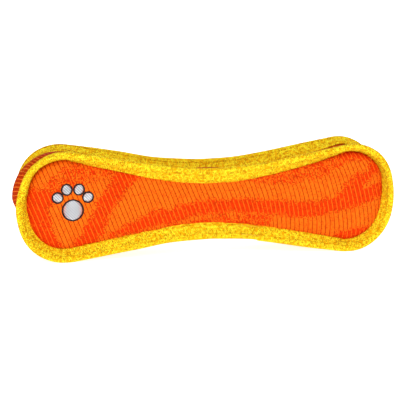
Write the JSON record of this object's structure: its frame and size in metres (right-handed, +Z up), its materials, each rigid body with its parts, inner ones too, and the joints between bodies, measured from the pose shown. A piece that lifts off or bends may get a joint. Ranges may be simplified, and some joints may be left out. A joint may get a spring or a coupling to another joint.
{
  "type": "training bumper",
  "caption": "Stuffed bone-shaped retrieving bumper for dogs: woven cover, boxed sides, folded webbing binding round both faces, squeaker in each lobe.",
  "frame": {"origin": "centre of the bounding box at its base: the bumper stands on its long lower edge, on the flattened lobes of both bindings", "axes": "+X along the bone towards its right-hand end, +Y through its depth from the front panel with the emblem to the back panel, +Z up"},
  "size_m": [0.305, 0.0438, 0.0882],
  "materials": {
    "panel_cloth": "woven jacquard, two-tone orange, coated back",
    "gusset_cloth": "woven jacquard, two-tone orange",
    "binding_webbing": "herringbone webbing, yellow",
    "lining_cloth": "plain weave lining, undyed",
    "fibre_wadding": "carded polyester fibre, white",
    "emblem_thread": "satin embroidery thread, silver grey",
    "emblem_rim_thread": "satin embroidery thread, black",
    "emblem_stabiliser": "non-woven sheet, white",
    "binding_thread": "bonded polyester thread, yellow",
    "seam_thread": "bonded polyester thread, undyed",
    "squeaker_plastic": "soft moulded polyethylene, natural",
    "reed_holder_plastic": "hard moulded plastic, white",
    "reed_brass": "thin rolled strip",
    "pouch_cloth": "plain weave pouch cloth, grey"
  },
  "bodies": {
    "root": {"front_panel": "panel_cloth", "back_panel": "panel_cloth", "side_gusset": "gusset_cloth", "front_binding": "binding_webbing", "back_binding": "binding_webbing", "front_liner": "lining_cloth", "back_liner": "lining_cloth", "gusset_liner": "lining_cloth", "fibre_filling": "fibre_wadding", "paw_fill": "emblem_thread", "paw_outline": "emblem_rim_thread", "emblem_backing": "emblem_stabiliser", "front_crest_stitch": "binding_thread", "front_base_stitch": "binding_thread", "front_seam_stitch": "seam_thread", "back_crest_stitch": "binding_thread", "back_base_stitch": "binding_thread", "back_seam_stitch": "seam_thread", "left_squeaker_base": "squeaker_plastic", "left_squeaker_wall": "squeaker_plastic", "left_reed_holder": "reed_holder_plastic", "left_reed": "reed_brass", "left_pouch_front": "pouch_cloth", "left_pouch_back": "pouch_cloth", "right_squeaker_base": "squeaker_plastic", "right_squeaker_wall": "squeaker_plastic", "right_reed_holder": "reed_holder_plastic", "right_reed": "reed_brass", "right_pouch_front": "pouch_cloth", "right_pouch_back": "pouch_cloth"},
    "left_squeaker_cap": {"left_squeaker_cap": "squeaker_plastic"},
    "right_squeaker_cap": {"right_squeaker_cap": "squeaker_plastic"}
  },
  "joints": [
    {"name": "left_squeaker_press", "type": "slide", "parent": "root", "child": "left_squeaker_cap", "axis": [0, 1, 0], "range_m": [0, 0.008], "stiffness_N_per_m": 800, "deforming": ["left_squeaker_wall"]},
    {"name": "right_squeaker_press", "type": "slide", "parent": "root", "child": "right_squeaker_cap", "axis": [0, 1, 0], "range_m": [0, 0.008], "stiffness_N_per_m": 800, "deforming": ["right_squeaker_wall"]}
  ]
}
